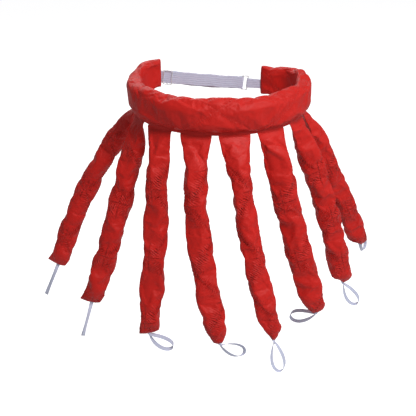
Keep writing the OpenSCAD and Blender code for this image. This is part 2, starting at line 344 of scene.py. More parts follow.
def ribbon(path, sideways, width, thickness, ribs, around=48):
    """A bmesh of flat elastic along a path. sideways is the way its width points, per point."""
    path, sideways = np.asarray(path), np.asarray(sideways)
    way = unit_rows(np.gradient(path, axis=0))
    across = unit_rows(sideways - way * np.sum(sideways * way, axis=1)[:, None])
    up = np.cross(way, across)
    last = len(path) - 1
    facts = {}

    def place(turn, share):
        row = np.round(share * last).astype(int)
        x = width / 2 * rounded(np.cos(turn), 2.3)
        facts["groove"] = (1 + np.cos(2 * np.pi * ribs * (x / width + 0.5))) / 2
        rib = 1 - RIB_DEPTH * facts["groove"]
        y = thickness / 2 * rounded(np.sin(turn), 3.2) * rib
        return path[row] + across[row] * x[:, None] + up[row] * y[:, None]

    bm = tube(around, last, place)
    groove = bm.verts.layers.float.new("rib_groove")
    for v, deep in zip(bm.verts, facts["groove"]):
        v[groove] = deep
    return bm


# %% The loops
LOOP_WIDTH = 6 * MM
LOOP_THICKNESS = 1 * MM
LOOP_LENGTH = 58 * MM
LOOP_SPREAD = 19 * MM
LOOP_FIRST = math.radians(18.5)
LOOP_TWIST = 0.9            # how far the ribbon turns over, in radians
# The way each loop points, and a hint of the way its opening spreads
LOOP_WAYS = {
    1: ((-0.40, -0.15, -0.90), (0, 1, 0)),
    2: ((-0.28, -0.25, -0.93), (0, 1, 0)),
    3: ((0.60, 0.34, -0.72), (1, 0, 1)),
    4: ((0.68, 0.42, -0.60), (0, 0, 1)),
    5: ((0.20, 0.00, -0.98), (1, 0, 0)),
    6: ((-0.62, 0.60, -0.50), (0, 0, 1)),
    7: ((0.50, 0.18, -0.85), (1, 0, 0)),
    8: ((0.37, 0.80, -0.47), (0, 0, 1)),
}


def loop_axes(n):
    """The ways a loop hangs, stands square to its drop, and opens."""
    hang = unit(LOOP_WAYS[n][0])
    side = unit(np.cross(hang, LOOP_WAYS[n][1]))
    return hang, side, np.cross(side, hang)


def loop_route(n, points=61):
    hang, side, opens = loop_axes(n)
    a = np.linspace(LOOP_FIRST, 2 * math.pi - LOOP_FIRST, points)
    return (arms[n].fold
            + np.outer(LOOP_SPREAD * 0.65 * np.sin(a) * np.sin(a / 2), opens)
            + np.outer(LOOP_LENGTH * (1 - np.cos(a)) / 2, hang))


def twisted(route, side, most):
    """The way the ribbon's width points, turned about the route by up to most radians."""
    way = unit_rows(np.gradient(route, axis=0))
    angle = most * np.sin(np.linspace(0, 2 * math.pi, len(route)))[:, None]
    return side * np.cos(angle) + np.cross(way, side) * np.sin(angle)


loops = {}
for n in ARMS:
    route = loop_route(n)
    side = twisted(route, loop_axes(n)[1], LOOP_TWIST * (1 if n % 2 else -1))
    bm = ribbon(route, side, LOOP_WIDTH, LOOP_THICKNESS, 3, around=32)
    loop = loops[n] = new_object(f"arm_{n}_finger_loop", bm)
    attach(loop, f"arm_{n}_loop")
    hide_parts(f"arm_{n}_loop")

# %% [markdown]
# The end of that elastic shows for a few millimetres between the arm's sewn tip and the drop. It
# is a short doubled ribbon that starts inside the tip, flat in the seam, and turns until it meets
# the loop's own plane. It crosses the flick joint.

# %% Loop tails
TAIL_INSIDE = 9 * MM
TAIL_PAST = 3 * MM


def seam_turn(n):
    """How far an arm's flat tip has turned round its own axis, in radians."""
    return -0.8 * math.radians(SEAM_TURNS[n])


# Each arm's place on the belt, as a turn from the middle of the front
SEAM_TURNS = {n: math.degrees(math.atan2(a.root[0] / HALF_WIDTH, -a.root[1] / FRONT_DEPTH))
              for n, a in arms.items()}

loop_tails = {}
for n, arm in arms.items():
    hang, side, opens = loop_axes(n)
    tip_wide = arm.wide * math.cos(seam_turn(n)) + arm.thick * math.sin(seam_turn(n))
    side = side * (1 if side @ tip_wide > 0 else -1)
    far = np.linspace(-TAIL_INSIDE - LOOP_OFFSET, 0, 10)
    path = np.concatenate([arm.fold + np.outer(far, arm.down),
                           arm.fold + np.outer(np.linspace(0, TAIL_PAST, 4)[1:], hang)])
    mix = smooth(np.linspace(-0.6, 1, len(path)))[:, None]
    tail = new_object(f"arm_{n}_loop_tail",
                      ribbon(path, tip_wide * (1 - mix) + side * mix,
                             LOOP_WIDTH, 2.3 * LOOP_THICKNESS, 3, around=32))
    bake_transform(tail)
    loop_tails[n] = tail
print("loop tails:", len(loop_tails))

# %% [markdown]
# ## Quilting
#
# The belt and the arms are cut from one quilted cloth. Two families of straight stitch lines
# cross it and make diamonds. On each piece the lines are straight in the flat cloth, where u is
# the distance across and v the distance along, so the distance from any point to the nearest
# line is a short formula. The mesh gets its stitch lines by sliding the nearest vertices onto
# them, and those vertices are what the thread holds when the stuffing swells the cloth.

# %% Distance to the stitch lines
CROSSING_REACH = 11 * MM    # the gathers fade out this near to a crossing
CALM_FAR = 9 * MM           # as if the crossing were this far from any thread


class Quilting:
    """Two crossing families of lines: v = cross_v + repeat * k, plus or minus lean * (u - cross_u)."""

    def __init__(self, cross_u, cross_v, repeat, lean):
        self.u, self.v, self.repeat, self.lean = cross_u, cross_v, repeat, lean
        self.square = 1 / math.hypot(1, lean)

    def offsets(self, u, v):
        """How far v is from the nearest line of each family."""
        return [(v - self.v - way * self.lean * (u - self.u) + self.repeat / 2) % self.repeat
                - self.repeat / 2 for way in (1, -1)]

    def snap(self, u, v, reach):
        """Slides v onto a line that is nearer than reach. Returns v and whether it was slid."""
        held = np.zeros(len(v), bool)
        for family in (0, 1):
            off = self.offsets(u, v)[family]
            near = (np.abs(off) <= reach) & ~held
            v = np.where(near, v - off, v)
            held |= near
        return v, held

    def distance(self, u, v):
        """Distance to the nearest line, the run along it, and how calm the cloth is at a crossing."""
        one, two = self.offsets(u, v)
        first = np.abs(one) <= np.abs(two)
        along = self.square * (u + np.where(first, 1, -1) * self.lean * v)
        other = np.maximum(np.abs(one), np.abs(two)) * self.square
        calm = 1 - smooth(other / CROSSING_REACH)
        return np.minimum(np.abs(one), np.abs(two)) * self.square, along, calm

    def lines(self, u_low, u_high, v_low, v_high, step):
        """Points along every line inside a rectangle of cloth, one list for each line."""
        found = []
        first = math.floor((v_low - self.v) / self.repeat) - 3
        for k in range(first, first + int((v_high - v_low) / self.repeat) + 8):
            for way in (1, -1):
                count = int((u_high - u_low) / (step * self.square)) + 1
                u = np.linspace(u_low, u_high, count)
                v = self.v + k * self.repeat + way * self.lean * (u - self.u)
                inside = (v > v_low) & (v < v_high)
                if inside.sum() > 1:
                    found.append((u[inside], v[inside]))
        return found


# %% [markdown]
# ## Stuffing by cloth simulation
#
# A stuffed, quilted tube could be sculpted by hand, but the soft pulls that run from a stitch
# line are what simulation is good at. Each piece starts a little slim, with its stitch lines
# drawn in. The thread, the sewn ends and the seams are pinned, the cloth gets a few per cent of
# spare size, and air pressure fills it for twenty frames with gravity off. No point may move
# further than a cap. All the padded pieces are simulated together and then kept as plain meshes.

# %% Cloth helpers
SIM_FRAMES = 20
PRESSURE = 4.0
SPARE_CLOTH = 0.045


def mark(mesh, name, values):
    layer = mesh.attributes.new(name, "FLOAT", "POINT")
    layer.data.foreach_set("value", np.asarray(values, np.float32))


def mark_cloth(obj, u, v):
    """Writes the measures of the flat cloth into a mesh, for its finish."""
    mark(obj.data, "cloth_u", u)
    mark(obj.data, "cloth_v", v)


def read(mesh, name):
    values = np.zeros(len(mesh.vertices), np.float32)
    mesh.attributes[name].data.foreach_get("value", values)
    return values.astype(float)


def coordinates(mesh):
    at = np.zeros(len(mesh.vertices) * 3)
    mesh.vertices.foreach_get("co", at)
    return at.reshape(-1, 3)


def make_cloth(obj, held, spare=SPARE_CLOTH):
    group = obj.vertex_groups.new(name="held")
    group.add([int(i) for i in np.flatnonzero(held)], 1.0, "REPLACE")
    cloth = obj.modifiers.new("stuffing", "CLOTH")
    s = cloth.settings
    s.quality = 5
    s.mass = 0.3
    s.tension_stiffness = s.compression_stiffness = 8
    s.shear_stiffness = 3
    s.bending_stiffness = 0.02
    s.tension_damping = s.compression_damping = s.shear_damping = 5
    s.bending_damping = 0.5
    s.air_damping = 3
    s.use_pressure = True
    s.uniform_pressure_force = PRESSURE
    s.effector_weights.gravity = 0
    s.vertex_group_mass = "held"
    s.shrink_min = -spare
    cloth.collision_settings.use_collision = False
    cloth.collision_settings.use_self_collision = False
    cloth.point_cache.frame_start = 1
    cloth.point_cache.frame_end = SIM_FRAMES


def settle(objects, cap):
    """Runs every Cloth together, keeps each point within cap of its start, and bakes the result."""
    scene = bpy.context.scene
    for f in range(1, SIM_FRAMES + 1):
        scene.frame_set(f)
    graph = bpy.context.evaluated_depsgraph_get()
    moved = {}
    for obj in objects:
        start = coordinates(obj.data)
        now = coordinates(obj.evaluated_get(graph).data)
        move = now - start
        size = np.linalg.norm(move, axis=1)
        keep = np.where(size > cap, cap / np.maximum(size, 1e-9), 1)
        moved[obj.name] = start + move * keep[:, None]
        print(obj.name, "swelled by up to", round(size.max() / MM, 1), "mm")
    for obj in objects:
        obj.modifiers.clear()
        obj.vertex_groups.clear()
        obj.data.vertices.foreach_set("co", moved[obj.name].ravel())
        obj.data.update()
    scene.frame_set(1)


def refine(obj):
    """One smooth subdivision, kept in the mesh."""
    modifier = obj.modifiers.new("finer", "SUBSURF")
    modifier.levels = modifier.render_levels = 1
    graph = bpy.context.evaluated_depsgraph_get()
    mesh = bpy.data.meshes.new_from_object(obj.evaluated_get(graph), depsgraph=graph)
    obj.modifiers.clear()
    old = obj.data
    obj.data = mesh
    bpy.data.meshes.remove(old)
    mesh.name = obj.name


# %% Puckers: fine folds that the thread gathers on each side of a stitch line
THREAD_SINK = 0.4 * MM      # how deep the thread lies in the cloth
THREAD_SINK_REACH = 0.9 * MM


def vertex_normals(mesh):
    normals = np.zeros(len(mesh.vertices) * 3)
    mesh.vertex_normals.foreach_get("vector", normals)
    return normals.reshape(-1, 3)


def pucker(obj, depth, pitch, reach):
    """Ridges square to the stitch lines, strongest at the thread and gone beyond reach."""
    far, run = read(obj.data, "stitch_far"), read(obj.data, "stitch_run")
    wander = (0.35 * np.sin(2 * np.pi * run / (7.3 * pitch))
              + 0.2 * np.sin(2 * np.pi * run / (3.1 * pitch)))
    ridge = np.sin(2 * np.pi * (run / pitch + wander))
    uneven = 0.6 + 0.4 * np.sin(2 * np.pi * run / (11 * pitch) + 1)
    fade = np.exp(-(far / reach)) * smooth(far / (0.25 * reach))
    groove = -THREAD_SINK * np.exp(-(far / THREAD_SINK_REACH) ** 2)
    at = coordinates(obj.data)
    at += vertex_normals(obj.data) * (depth * ridge * uneven * fade + groove)[:, None]
    obj.data.vertices.foreach_set("co", at.ravel())
    obj.data.update()


print("cloth: pressure", PRESSURE, "and spare size", SPARE_CLOTH)

# %% [markdown]
# ## The eight arms
#
# An arm is a sleeve of the quilted cloth, flat where it is sewn to the belt, round along its
# length, and sewn shut across a tip that is squared, mitred or pointed. Hanging freely, each one
# turns a little round its own length, so that its width comes to face the front. One mesh covers
# the whole arm.

# %% The shape of one arm
AROUND_ARM = 56
ARM_ROWS = 160
ARM_HALF_WIDTH = 18.2 * MM
ARM_HALF_THICKNESS = 14.6 * MM
ROOT_HALF_WIDTH = 23.6 * MM
ROOT_TAPER = 60 * MM
ROOT_RUN = 70 * MM
TURN_RUN = 110 * MM
TIP_RUN = 34 * MM
ARM_GIRTH = 108 * MM
ARM_POWER = 2.15            # how squarish an arm's section is
STITCH_DEPTH = 1.0 * MM
STITCH_REACH = 5 * MM
SWELL = 1.2 * MM            # how uneven the stuffing is
SWELL_WAVES = (95, 61, 37, 23)      # in millimetres
# For each arm: first crossing of its stitch lines from the root, its place across, their repeat,
# then where the left edge of its sewn tip ends up and the run over which it gets there, and the
# same for the right edge, and how much longer the left side is. All in millimetres.
ARM_CLOTH = {
    1: (66, 0, 97, -21, 34, 12, 14, 3),
    2: (42, 1, 94, -20, 34, 13, 14, 2),
    3: (88, -6, 104, -15, 20, 15, 18, 5),
    4: (100, -16, 100, -9, 34, 5, 28, 0),
    5: (80, 15, 100, -3, 44, 4, 20, 0),
    6: (108, -7, 103, -6, 38, 12, 14, 0),
    7: (88, 3, 90, 2, 22, 9, 12, -3),
    8: (110, -2, 100, 3, 24, 16, 16, -5),
}
ARM_LEAN = 1.2
# How much wider or narrower than the pattern each arm hangs, below its root
ARM_WIDTHS = {1: 0.92, 2: 0.96, 3: 0.96, 4: 1.0, 5: 0.92, 6: 1.08, 7: 1.0, 8: 0.94}
WIDTH_START = 20 * MM
WIDTH_RUN = 60 * MM
# How far the middle of each cover hangs to the right of the CAD arm's centreline, in millimetres.
# The CAD arms, which collide and which the joints move, don't follow this or the widths above.
ARM_SWAYS = {1: -6, 2: -5, 3: 1, 4: -3, 5: -5, 6: -4, 7: 4, 8: -8}
TIP_BULGE = 2.5 * MM        # how far the middle of a sewn tip stands out past its corners
TIP_SHAPING = 45 * MM


def ripple(seed, u, v):
    """Low, smooth, irregular swells, the same on every run."""
    rng = np.random.default_rng(seed)
    total = np.zeros(len(u))
    for wave in SWELL_WAVES:
        _, phase, tilt = rng.uniform(0, 2 * np.pi, 3)
        spiral = np.round(2 * np.sin(tilt)) * u / (ARM_GIRTH / (2 * np.pi))
        total += np.sin(2 * np.pi * v / (wave * MM) + spiral + phase) * wave / SWELL_WAVES[0]
    return total / 2


def arm_half_width(far):
    flare = (1 - np.clip(far / ROOT_TAPER, 0, 1)) ** 1.5
    return ARM_HALF_WIDTH + (ROOT_HALF_WIDTH - ARM_HALF_WIDTH) * flare


def edge(arm, far, side, end, run):
    """Half width on one side of an arm, which goes over to end during the last run."""
    share = (1 - np.clip((arm.length - far) / run, 0, 1)) ** 1.7
    narrow = 1 + (ARM_WIDTHS[arm.number] - 1) * smooth((far - WIDTH_START) / WIDTH_RUN)
    return arm_half_width(far) * narrow * (1 - share) + side * end * share


def arm_thickness(arm, far):
    rise = np.clip(far / ROOT_RUN, 0, 1)
    close = np.clip((arm.length - far) / TIP_RUN, 0, 1)
    return ARM_HALF_THICKNESS * (0.08 + 0.92 * (1 - (1 - rise) ** 2)) * (1 - (1 - close) ** 2.6)


def arm_place(n, arm, turn, u, far):
    """Places of points on an arm's cloth, with its stitch lines drawn in."""
    left, left_run, right, right_run, longer = np.array(ARM_CLOTH[n][3:]) * MM
    swell = smooth(far / (45 * MM)) * smooth((arm.length - far) / (30 * MM))
    away, _, _ = arm_quilting(n).distance(u, far)
    drawn = STITCH_DEPTH * np.exp(-away / STITCH_REACH) - SWELL * ripple(n, u, far)
    drawn = 1 - swell * drawn / ARM_HALF_THICKNESS
    c, s = rounded(np.cos(turn), ARM_POWER), rounded(np.sin(turn), ARM_POWER)
    x = np.where(c < 0, edge(arm, far, -1, left, left_run),
                 edge(arm, far, 1, right, right_run)) * c * drawn
    y = arm_thickness(arm, far) * s * drawn
    twist = seam_turn(n) * smooth(far / TURN_RUN)
    mix = np.clip(far / ROOT_TAPER, 0, 1)[:, None]
    wide = unit_rows(arm.along * (1 - mix) + arm.wide * mix)
    across_way = wide * np.cos(twist)[:, None] + arm.thick * np.sin(twist)[:, None]
    thick_way = arm.thick * np.cos(twist)[:, None] - wide * np.sin(twist)[:, None]
    tip = smooth((far - arm.length + TIP_SHAPING) / TIP_SHAPING)
    reach = far - longer * x / ARM_HALF_WIDTH * tip + TIP_BULGE * (1 - np.abs(c) ** 2) * tip ** 3
    x = x + ARM_SWAYS[n] * MM * np.sin(np.pi * np.clip(far / arm.length, 0, 1))
    return arm.centre(reach) + across_way * x[:, None] + thick_way * y[:, None]


def arm_quilting(n):
    first, across, repeat = ARM_CLOTH[n][:3]
    return Quilting(across * MM, first * MM, repeat * MM, ARM_LEAN)


def round_arm(turn):
    """Distance round an arm's girth from the middle of its front, for a turn round its tube."""
    return ((turn + math.pi / 2 + math.pi) % (2 * math.pi) - math.pi) * ARM_GIRTH / (2 * math.pi)


# %% Make the arms
HEM_TOP = -0.6 * MM
ROOT_HELD = 9 * MM          # sewn flat this far from the belt
TIP_HELD = 3 * MM
QUILTED_FROM = 38 * MM
UNGATHERED = 30 * MM        # near the root, as if every thread were this far away
arm_covers = {}
for n, arm in arms.items():
    quilting = arm_quilting(n)
    facts = {}

    def place(turn, share):
        far = HEM_TOP + share * (arm.length - HEM_TOP)
        u = round_arm(turn)
        inner = (share > 0) & (share < 1)
        step = (arm.length - HEM_TOP) / ARM_ROWS
        slid, on_line = quilting.snap(u, far, step / 2)
        far = np.where(inner, slid, far)
        facts["held"] = ((on_line & (far > QUILTED_FROM)) | (far < ROOT_HELD)
                         | (far > arm.length - TIP_HELD))
        facts["u"], facts["far"] = u, far
        return arm_place(n, arm, turn, u, far)

    bm = tube(AROUND_ARM, ARM_ROWS, place, capped=False)
    cover = new_object(f"{arm.name}_cover", bm)
    far, run, calm = quilting.distance(facts["u"], facts["far"])
    root_fade = smooth((facts["far"] - 25 * MM) / (25 * MM))
    mark(cover.data, "stitch_far", far + CALM_FAR * calm + UNGATHERED * (1 - root_fade))
    mark(cover.data, "stitch_run", run)
    mark_cloth(cover, facts["u"], facts["far"])
    arm_covers[n] = cover
    make_cloth(cover, facts["held"])
print("arm covers:", len(arm_covers), "with", len(cover.data.vertices), "points each")

# %% [markdown]
# ## The padded belt
#
# The belt is a single padded band with a soft, squarish section. It is quilted like the arms, but
# flatter: the lines hardly pull it in on its outer face and pinch it where they cross its top
# edge. The lower edge is a sewn seam all the way round, and each end closes to an upright sewn
# edge, where the strap goes in.

# %% The shape of the belt
AROUND_BELT = 72
BELT_ROWS = 276
BELT_HALF_HEIGHT = 25.4 * MM
BELT_HALF_THICKNESS = 13.9 * MM
BELT_POWER = 2.45
BELT_STITCH_DEPTH = 1.1 * MM
END_RUN_TURNS = 14
END_CRISPNESS = 1.3         # how much squarer the section is at the belt's ends
CRISP_TURNS = 110           # it starts to get squarer this many degrees before an end
CRISP_FULL = 75             # and has done so after this many
END_THINNING = 0.18
END_FLARE = 0.05
TOP_REACH = 14 * MM
BELT_STITCH_REACH = 6 * MM
SEAM_LIFT = 1.6 * MM        # the lower seam is drawn up into the section
SEAM_LIFT_REACH = 2.5 * MM
SCALLOP = 0.7 * MM          # the top edge is gathered into shallow scallops
SCALLOP_RUN = 23 * MM

# Distance round the section from the lower seam, up the outer face and down the inner one
fine_turns = np.linspace(-math.pi / 2, 1.5 * math.pi, 721)
fine_x = BELT_HALF_THICKNESS * rounded(np.cos(fine_turns), BELT_POWER)
fine_z = BELT_HALF_HEIGHT * rounded(np.sin(fine_turns), BELT_POWER)
round_walk = np.concatenate([[0], np.cumsum(np.hypot(np.diff(fine_x), np.diff(fine_z)))])
BELT_GIRTH = round_walk[-1]
belt_quilting = Quilting(0, -68 * MM, 116 * MM, 84 * MM / (BELT_GIRTH / 2))


def round_belt(turn):
    return np.interp((turn + math.pi / 2) % (2 * math.pi) - math.pi / 2, fine_turns, round_walk)


def belt_place(turn, u, run):
    """Places of points on the belt's cloth, with its stitch lines drawn in."""
    middle, outward, half_height, turns = belt_frame(run)
    end = np.clip((end_turn(turns) - np.abs(turns)) / END_RUN_TURNS, 0, 1)
    closing = 0.08 + 0.92 * np.sqrt(1 - (1 - end) ** 2)
    crisp = smooth((CRISP_TURNS - end_turn(turns) + np.abs(turns)) / CRISP_FULL)
    power = BELT_POWER + END_CRISPNESS * crisp
    corner = 1 + END_FLARE * (1 - end) ** 2
    away, _, _ = belt_quilting.distance(u, run)
    at_seam = np.minimum(u, BELT_GIRTH - u)
    top = np.exp(-((u - BELT_GIRTH / 2) / TOP_REACH) ** 2)
    stitched = np.exp(-away / BELT_STITCH_REACH) * smooth(at_seam / (8 * MM))
    drawn = (BELT_STITCH_DEPTH * (1 + 0.9 * top) * stitched
             - 0.6 * MM * ripple(20, u, run)
             + SCALLOP * top * (1 - np.abs(np.sin(np.pi * run / SCALLOP_RUN))))
    x = rounded(np.cos(turn), power) * (BELT_HALF_THICKNESS * (1 - END_THINNING * crisp) - drawn) * closing
    height = half_height - (HEIGHT / 2 - BELT_HALF_HEIGHT)
    z = rounded(np.sin(turn), power) * (height * corner - drawn)
    z += SEAM_LIFT * np.exp(-at_seam / SEAM_LIFT_REACH)
    return middle + outward * x[:, None] + np.outer(z, (0, 0, 1))


# %% Make the belt
facts = {}


def place_belt(turn, share):
    run = BELT_START + share * (BELT_END - BELT_START)
    u = round_belt(turn)
    slid, on_line = belt_quilting.snap(u, run, (BELT_END - BELT_START) / BELT_ROWS / 2)
    inner = (share > 0) & (share < 1)
    run = np.where(inner, slid, run)
    at_seam = np.minimum(u, BELT_GIRTH - u)
    from_end = np.minimum(run - BELT_START, BELT_END - run)
    facts["held"] = on_line | (at_seam < 2.5 * MM) | (from_end < 4 * MM)
    facts["u"], facts["v"] = u, run
    return belt_place(turn, u, run)


belt = new_object("belt_cover", tube(AROUND_BELT, BELT_ROWS, place_belt))
far, run, calm = belt_quilting.distance(facts["u"], facts["v"])
mark(belt.data, "stitch_far", far + CALM_FAR * calm)
mark(belt.data, "stitch_run", run)
mark_cloth(belt, facts["u"], facts["v"])
make_cloth(belt, facts["held"], spare=0.03)
print("belt section girth in mm:", round(BELT_GIRTH / MM), "points:", len(belt.data.vertices))

# %% Stuff belt and arms, refine them and gather the thread
settle([belt, *arm_covers.values()], cap=4.5 * MM)
refine(belt)
pucker(belt, depth=0.16 * MM, pitch=3.6 * MM, reach=3.0 * MM)
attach(belt, "belt")
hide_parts("belt_outer_panel", "belt_inner_panel", "belt_wadding")
for n, cover in arm_covers.items():
    refine(cover)
    pucker(cover, depth=0.62 * MM, pitch=3.8 * MM, reach=6.5 * MM)
    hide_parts(*[f"arm_{n}_{half}_{what}" for half in ("upper", "lower")
                         for what in ("cover", "wadding")])
print("faces on the belt:", len(belt.data.polygons), "and on an arm:", len(cover.data.polygons))

# %% [markdown]
# ## Binding and hems
#
# Under the belt runs a folded strip of binding that the arms are sewn to, a thin edge that shows
# in the gaps between them. Every arm ends at the top in a flat hem: two layers of its own cloth
# that go up into the binding. On the real belt that hem is the hinge of the arm, so it is its own
# small piece, whose shape is blended from the belt's curve to the arm.

# %% Binding
BINDING_HALF_THICKNESS = 1.6 * MM
BINDING_HEIGHT = 8.4 * MM
BINDING_DROP = 4.35 * MM
tape_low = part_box("arm_seam_tape")[0]
BINDING_TURNS = (-114, 102)
BINDING_ROWS = 220


def seam_level(run):
    middle, outward, half_height, _ = belt_frame(run)
    return middle - np.outer(half_height, (0, 0, 1)), outward


def place_binding(turn, share):
    ends = np.interp(BINDING_TURNS, walk_turns, walk)
    run = ends[0] + share * (ends[1] - ends[0])
    seam, outward = seam_level(run)
    wave = 0.25 * MM * np.sin(2 * np.pi * run / (3.6 * MM))
    x = rounded(np.cos(turn), 3) * (BINDING_HALF_THICKNESS + 0.3 * wave)
    z = (BINDING_HEIGHT / 2 - BINDING_DROP + rounded(np.sin(turn), 3) * BINDING_HEIGHT / 2
         + 0.4 * wave)
    facts["u"], facts["v"] = x + z, run
    return seam + outward * x[:, None] + np.outer(z, (0, 0, 1))


binding = new_object("arm_binding", tube(20, BINDING_ROWS, place_binding))
mark_cloth(binding, facts["u"], facts["v"])
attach(binding, "belt")
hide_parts("arm_seam_tape")
print("binding's lowest point against the tape's, in mm:",
      round((min(v.co.z for v in binding.data.vertices) - tape_low.z) / MM, 2))

# %% Hems
HEM_HALF_THICKNESS = 1.15 * MM
HEM_ABOVE = 5.6 * MM        # reaches up inside the binding
HEM_BELOW = 5 * MM          # reaches down inside the arm's mouth
hems = {}
for n, arm in arms.items():
    def place_hem(turn, share):
        far = -HEM_ABOVE + share * (HEM_ABOVE + HEM_BELOW)
        side = np.cos(turn)
        inset = 0.5 * MM * smooth(far / (2 * MM))
        x = rounded(side, 6) * (arm_half_width(np.clip(far, 0, None)) - inset)
        y = rounded(np.sin(turn), 3) * (HEM_HALF_THICKNESS - 0.1 * MM * np.cos(14 * share))
        up = np.clip(-far, 0, None)
        facts["u"], facts["v"] = x, far
        middle_run = np.interp(SEAM_TURNS[n], walk_turns, walk)
        curved = seam_level(middle_run + x)[0] - seam_level(np.array([middle_run]))[0]
        rise = smooth(up / (4 * MM))[:, None]
        straight = np.outer(x, arm.along)
        point = arm.root + straight * (1 - rise) + curved * rise
        return (point + np.outer(np.clip(far, 0, None), arm.down) + np.outer(up, (0, 0, 1))
                + np.outer(y, arm.thick))

    hem = hems[n] = new_object(f"{arm.name}_hem", tube(64, 18, place_hem))
    mark_cloth(hem, facts["u"], facts["v"])
    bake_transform(hem)
print("hems:", len(hems))

# %% [markdown]
# ## The back strap
#
# The strap is ribbed elastic 20 mm wide. It leaves the belt's end on the left, folds round one
# bar of a clear ring, and comes back behind itself to the middle bar of a clear slider, which
# sets its length. A narrower tab holds the ring to the other end of the belt. Ribs run along the
# elastic, so its section is a flat tube with a rippled face. The layer between the slider and the
# ring gets shorter as the slider is pushed along.

# %% The strap's own frame
STRAP_WIDTH = 20 * MM
STRAP_THICKNESS = 1.0 * MM
TAB_WIDTH = 15 * MM
STRAP_DROP = 7 * MM         # below the middle of the belt's ends
slide_way = unit(JOINTS["slider_slide"]["axis"])
strap_back = unit(np.cross((0, 0, 1), slide_way))
strap_up = np.cross(slide_way, strap_back)
left_end, right_end = belt_frame(np.array([BELT_START, BELT_END]))[0]
STRAP_MIDDLE = (left_end + right_end) / 2 - np.array((0, 0, STRAP_DROP))
HALF_REACH = np.linalg.norm(right_end - left_end) / 2
RING_X = 56 * MM
SLIDER_X = -71 * MM
RING_HALF = 4.4 * MM        # half the ring's length along the strap, to the middle of a bar
FOLD_RADIUS = 1.05 * MM     # the elastic's inner radius round a bar
TUCK = 2 * MM               # how far the strap goes into the belt's ends
DOUBLED_Y = 2 * FOLD_RADIUS + STRAP_THICKNESS
SLIDER_BAR_Y = DOUBLED_Y + 0.9 * MM + STRAP_THICKNESS / 2
END_TAIL = 9 * MM


def strap_points(xs, ys):
    return STRAP_MIDDLE + np.outer(xs, slide_way) + np.outer(ys, strap_back)


def strap_ribbon(name, xs, ys, width, ribs, body, nodes, wave=0.35 * MM, droop=0.0):
    """A strip of the strap's elastic along a route in the strap's frame. droop is its sag halfway."""
    path = strap_points(xs, ys)
    run = distances(path)
    sag = wave * np.sin(2 * np.pi * run / (37 * MM)) + 0.4 * wave * np.sin(2 * np.pi * run / (11 * MM))
    sag -= droop * np.sin(np.pi * run / run[-1])
    path = path + np.outer(sag, strap_up)
    obj = new_object(name, ribbon(path, np.tile(strap_up, (len(path), 1)), width, STRAP_THICKNESS,
                                  ribs, around=112))
    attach(obj, body)
    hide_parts(*nodes)
    return obj


# %% Strap, tab and end loop
def turned(x, y, radius, first, last, points=11):
    a = np.radians(np.linspace(first, last, points))
    return x + radius * np.cos(a), y + radius * np.sin(a)


bar_x = RING_X - RING_HALF
fold_x, fold_y = turned(bar_x, DOUBLED_Y / 2, DOUBLED_Y / 2, -90, 90)
straight_x = np.linspace(-HALF_REACH - TUCK, bar_x, 90)
strap = strap_ribbon("back_strap", np.concatenate([straight_x[:-1], fold_x]),
                     np.concatenate([0 * straight_x[:-1], fold_y]),
                     STRAP_WIDTH, 6, "belt", ["strap_elastic"])
back_x = np.linspace(SLIDER_X + END_TAIL, bar_x, 80)
strap_return = strap_ribbon("back_strap_return", back_x, DOUBLED_Y + 0 * back_x,
                            STRAP_WIDTH, 6, "belt", ["strap_return"], wave=0.3 * MM, droop=2.6 * MM)
loop_x, loop_y = turned(SLIDER_X, SLIDER_BAR_Y, 1.4 * MM, -90, 250, 25)
tail_x = np.linspace(SLIDER_X + END_TAIL, SLIDER_X + 1.2 * MM, 10)
end_loop = strap_ribbon("strap_end_fold", np.concatenate([tail_x, loop_x]),
                        np.concatenate([DOUBLED_Y + 0 * tail_x, loop_y]),
                        STRAP_WIDTH, 6, "slider", ["strap_end_loop"], wave=0)
tab_bar = RING_X + RING_HALF
tab_fold_x, tab_fold_y = turned(tab_bar, DOUBLED_Y / 2, DOUBLED_Y / 2, 90, 270)
out_x = np.linspace(HALF_REACH + TUCK, tab_bar, 40)
lean = smooth((HALF_REACH - 4 * MM - out_x) / (24 * MM))
tab = strap_ribbon("ring_tab",
                   np.concatenate([out_x[:-1], tab_fold_x, out_x[::-1][1:]]),
                   np.concatenate([(0.5 * MM + (DOUBLED_Y - 0.5 * MM) * lean)[:-1], tab_fold_y,
                                   (-0.5 * MM + 0.5 * MM * lean)[::-1][1:]]),
                   TAB_WIDTH, 5, "belt", ["strap_tab"], wave=0.1 * MM)
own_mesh(strap_return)
print("strap pieces:", strap.name, strap_return.name, end_loop.name, tab.name)

# %% [markdown]
# ## Thread
#
# The quilting thread shows as a row of short stitches along each line. A stitch is a tiny
# flattened bead, laid on the finished cloth and turned along its line. There are thousands, so
# each has only two dozen faces, and all the stitches of one piece are one mesh that moves
# exactly as the cloth under it does.

# %% Rows of stitches
STITCH_PITCH = 4.4 * MM
STITCH_LENGTH = 2.9 * MM
THREAD = 0.36 * MM

bead = bmesh.new()
bmesh.ops.create_uvsphere(bead, u_segments=6, v_segments=4, radius=1)
BEAD_POINTS = np.array([v.co for v in bead.verts]) * (STITCH_LENGTH / 2, THREAD * 0.65, THREAD / 2)
BEAD_FACES = [[v.index for v in face.verts] for face in bead.faces]
bead.free()


